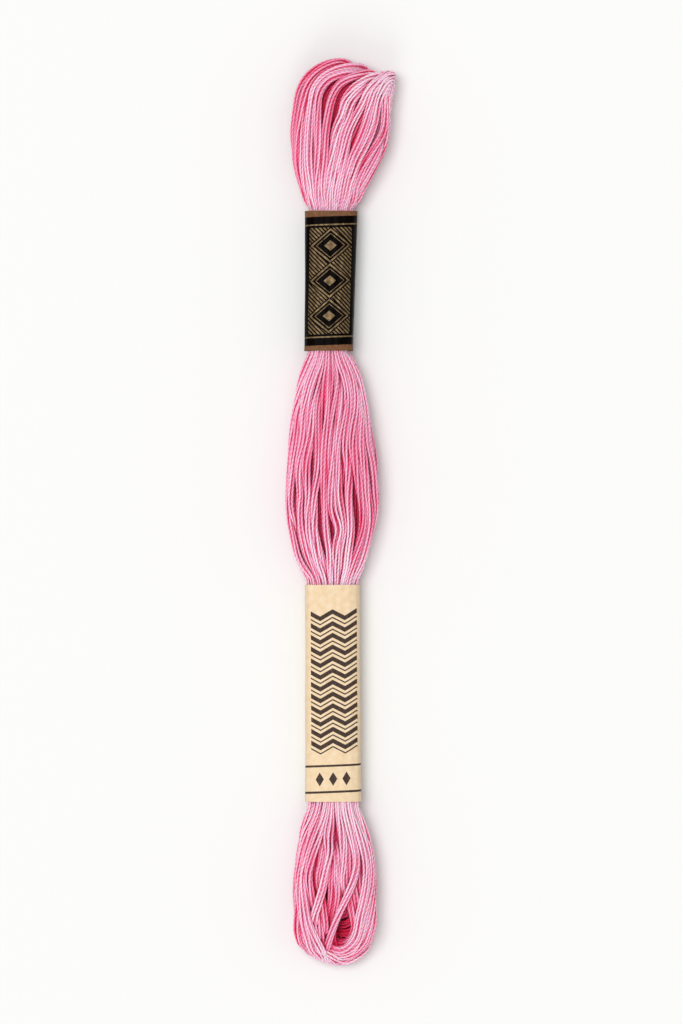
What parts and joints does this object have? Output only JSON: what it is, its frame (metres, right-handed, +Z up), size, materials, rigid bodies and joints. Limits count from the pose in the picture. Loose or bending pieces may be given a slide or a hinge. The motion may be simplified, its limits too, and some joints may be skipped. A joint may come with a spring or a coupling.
{
  "type": "hank of embroidery floss",
  "caption": "Flattened wound hank of stranded embroidery cotton with an arched end, a round end and two paper bands.",
  "frame": {"origin": "on the surface the hank lies on, under the middle of its bounding box", "axes": "+Y along the hank, from the round end to the arched end; +Z up, away from the surface; +X to the right seen from above"},
  "size_m": [0.0202, 0.163, 0.0096],
  "materials": {
    "floss": "satin",
    "black_paper": "satin",
    "cream_paper": "matte"
  },
  "bodies": {
    "root": {"hank": "floss", "band_upper": "black_paper", "band_lower": "cream_paper"}
  },
  "joints": []
}
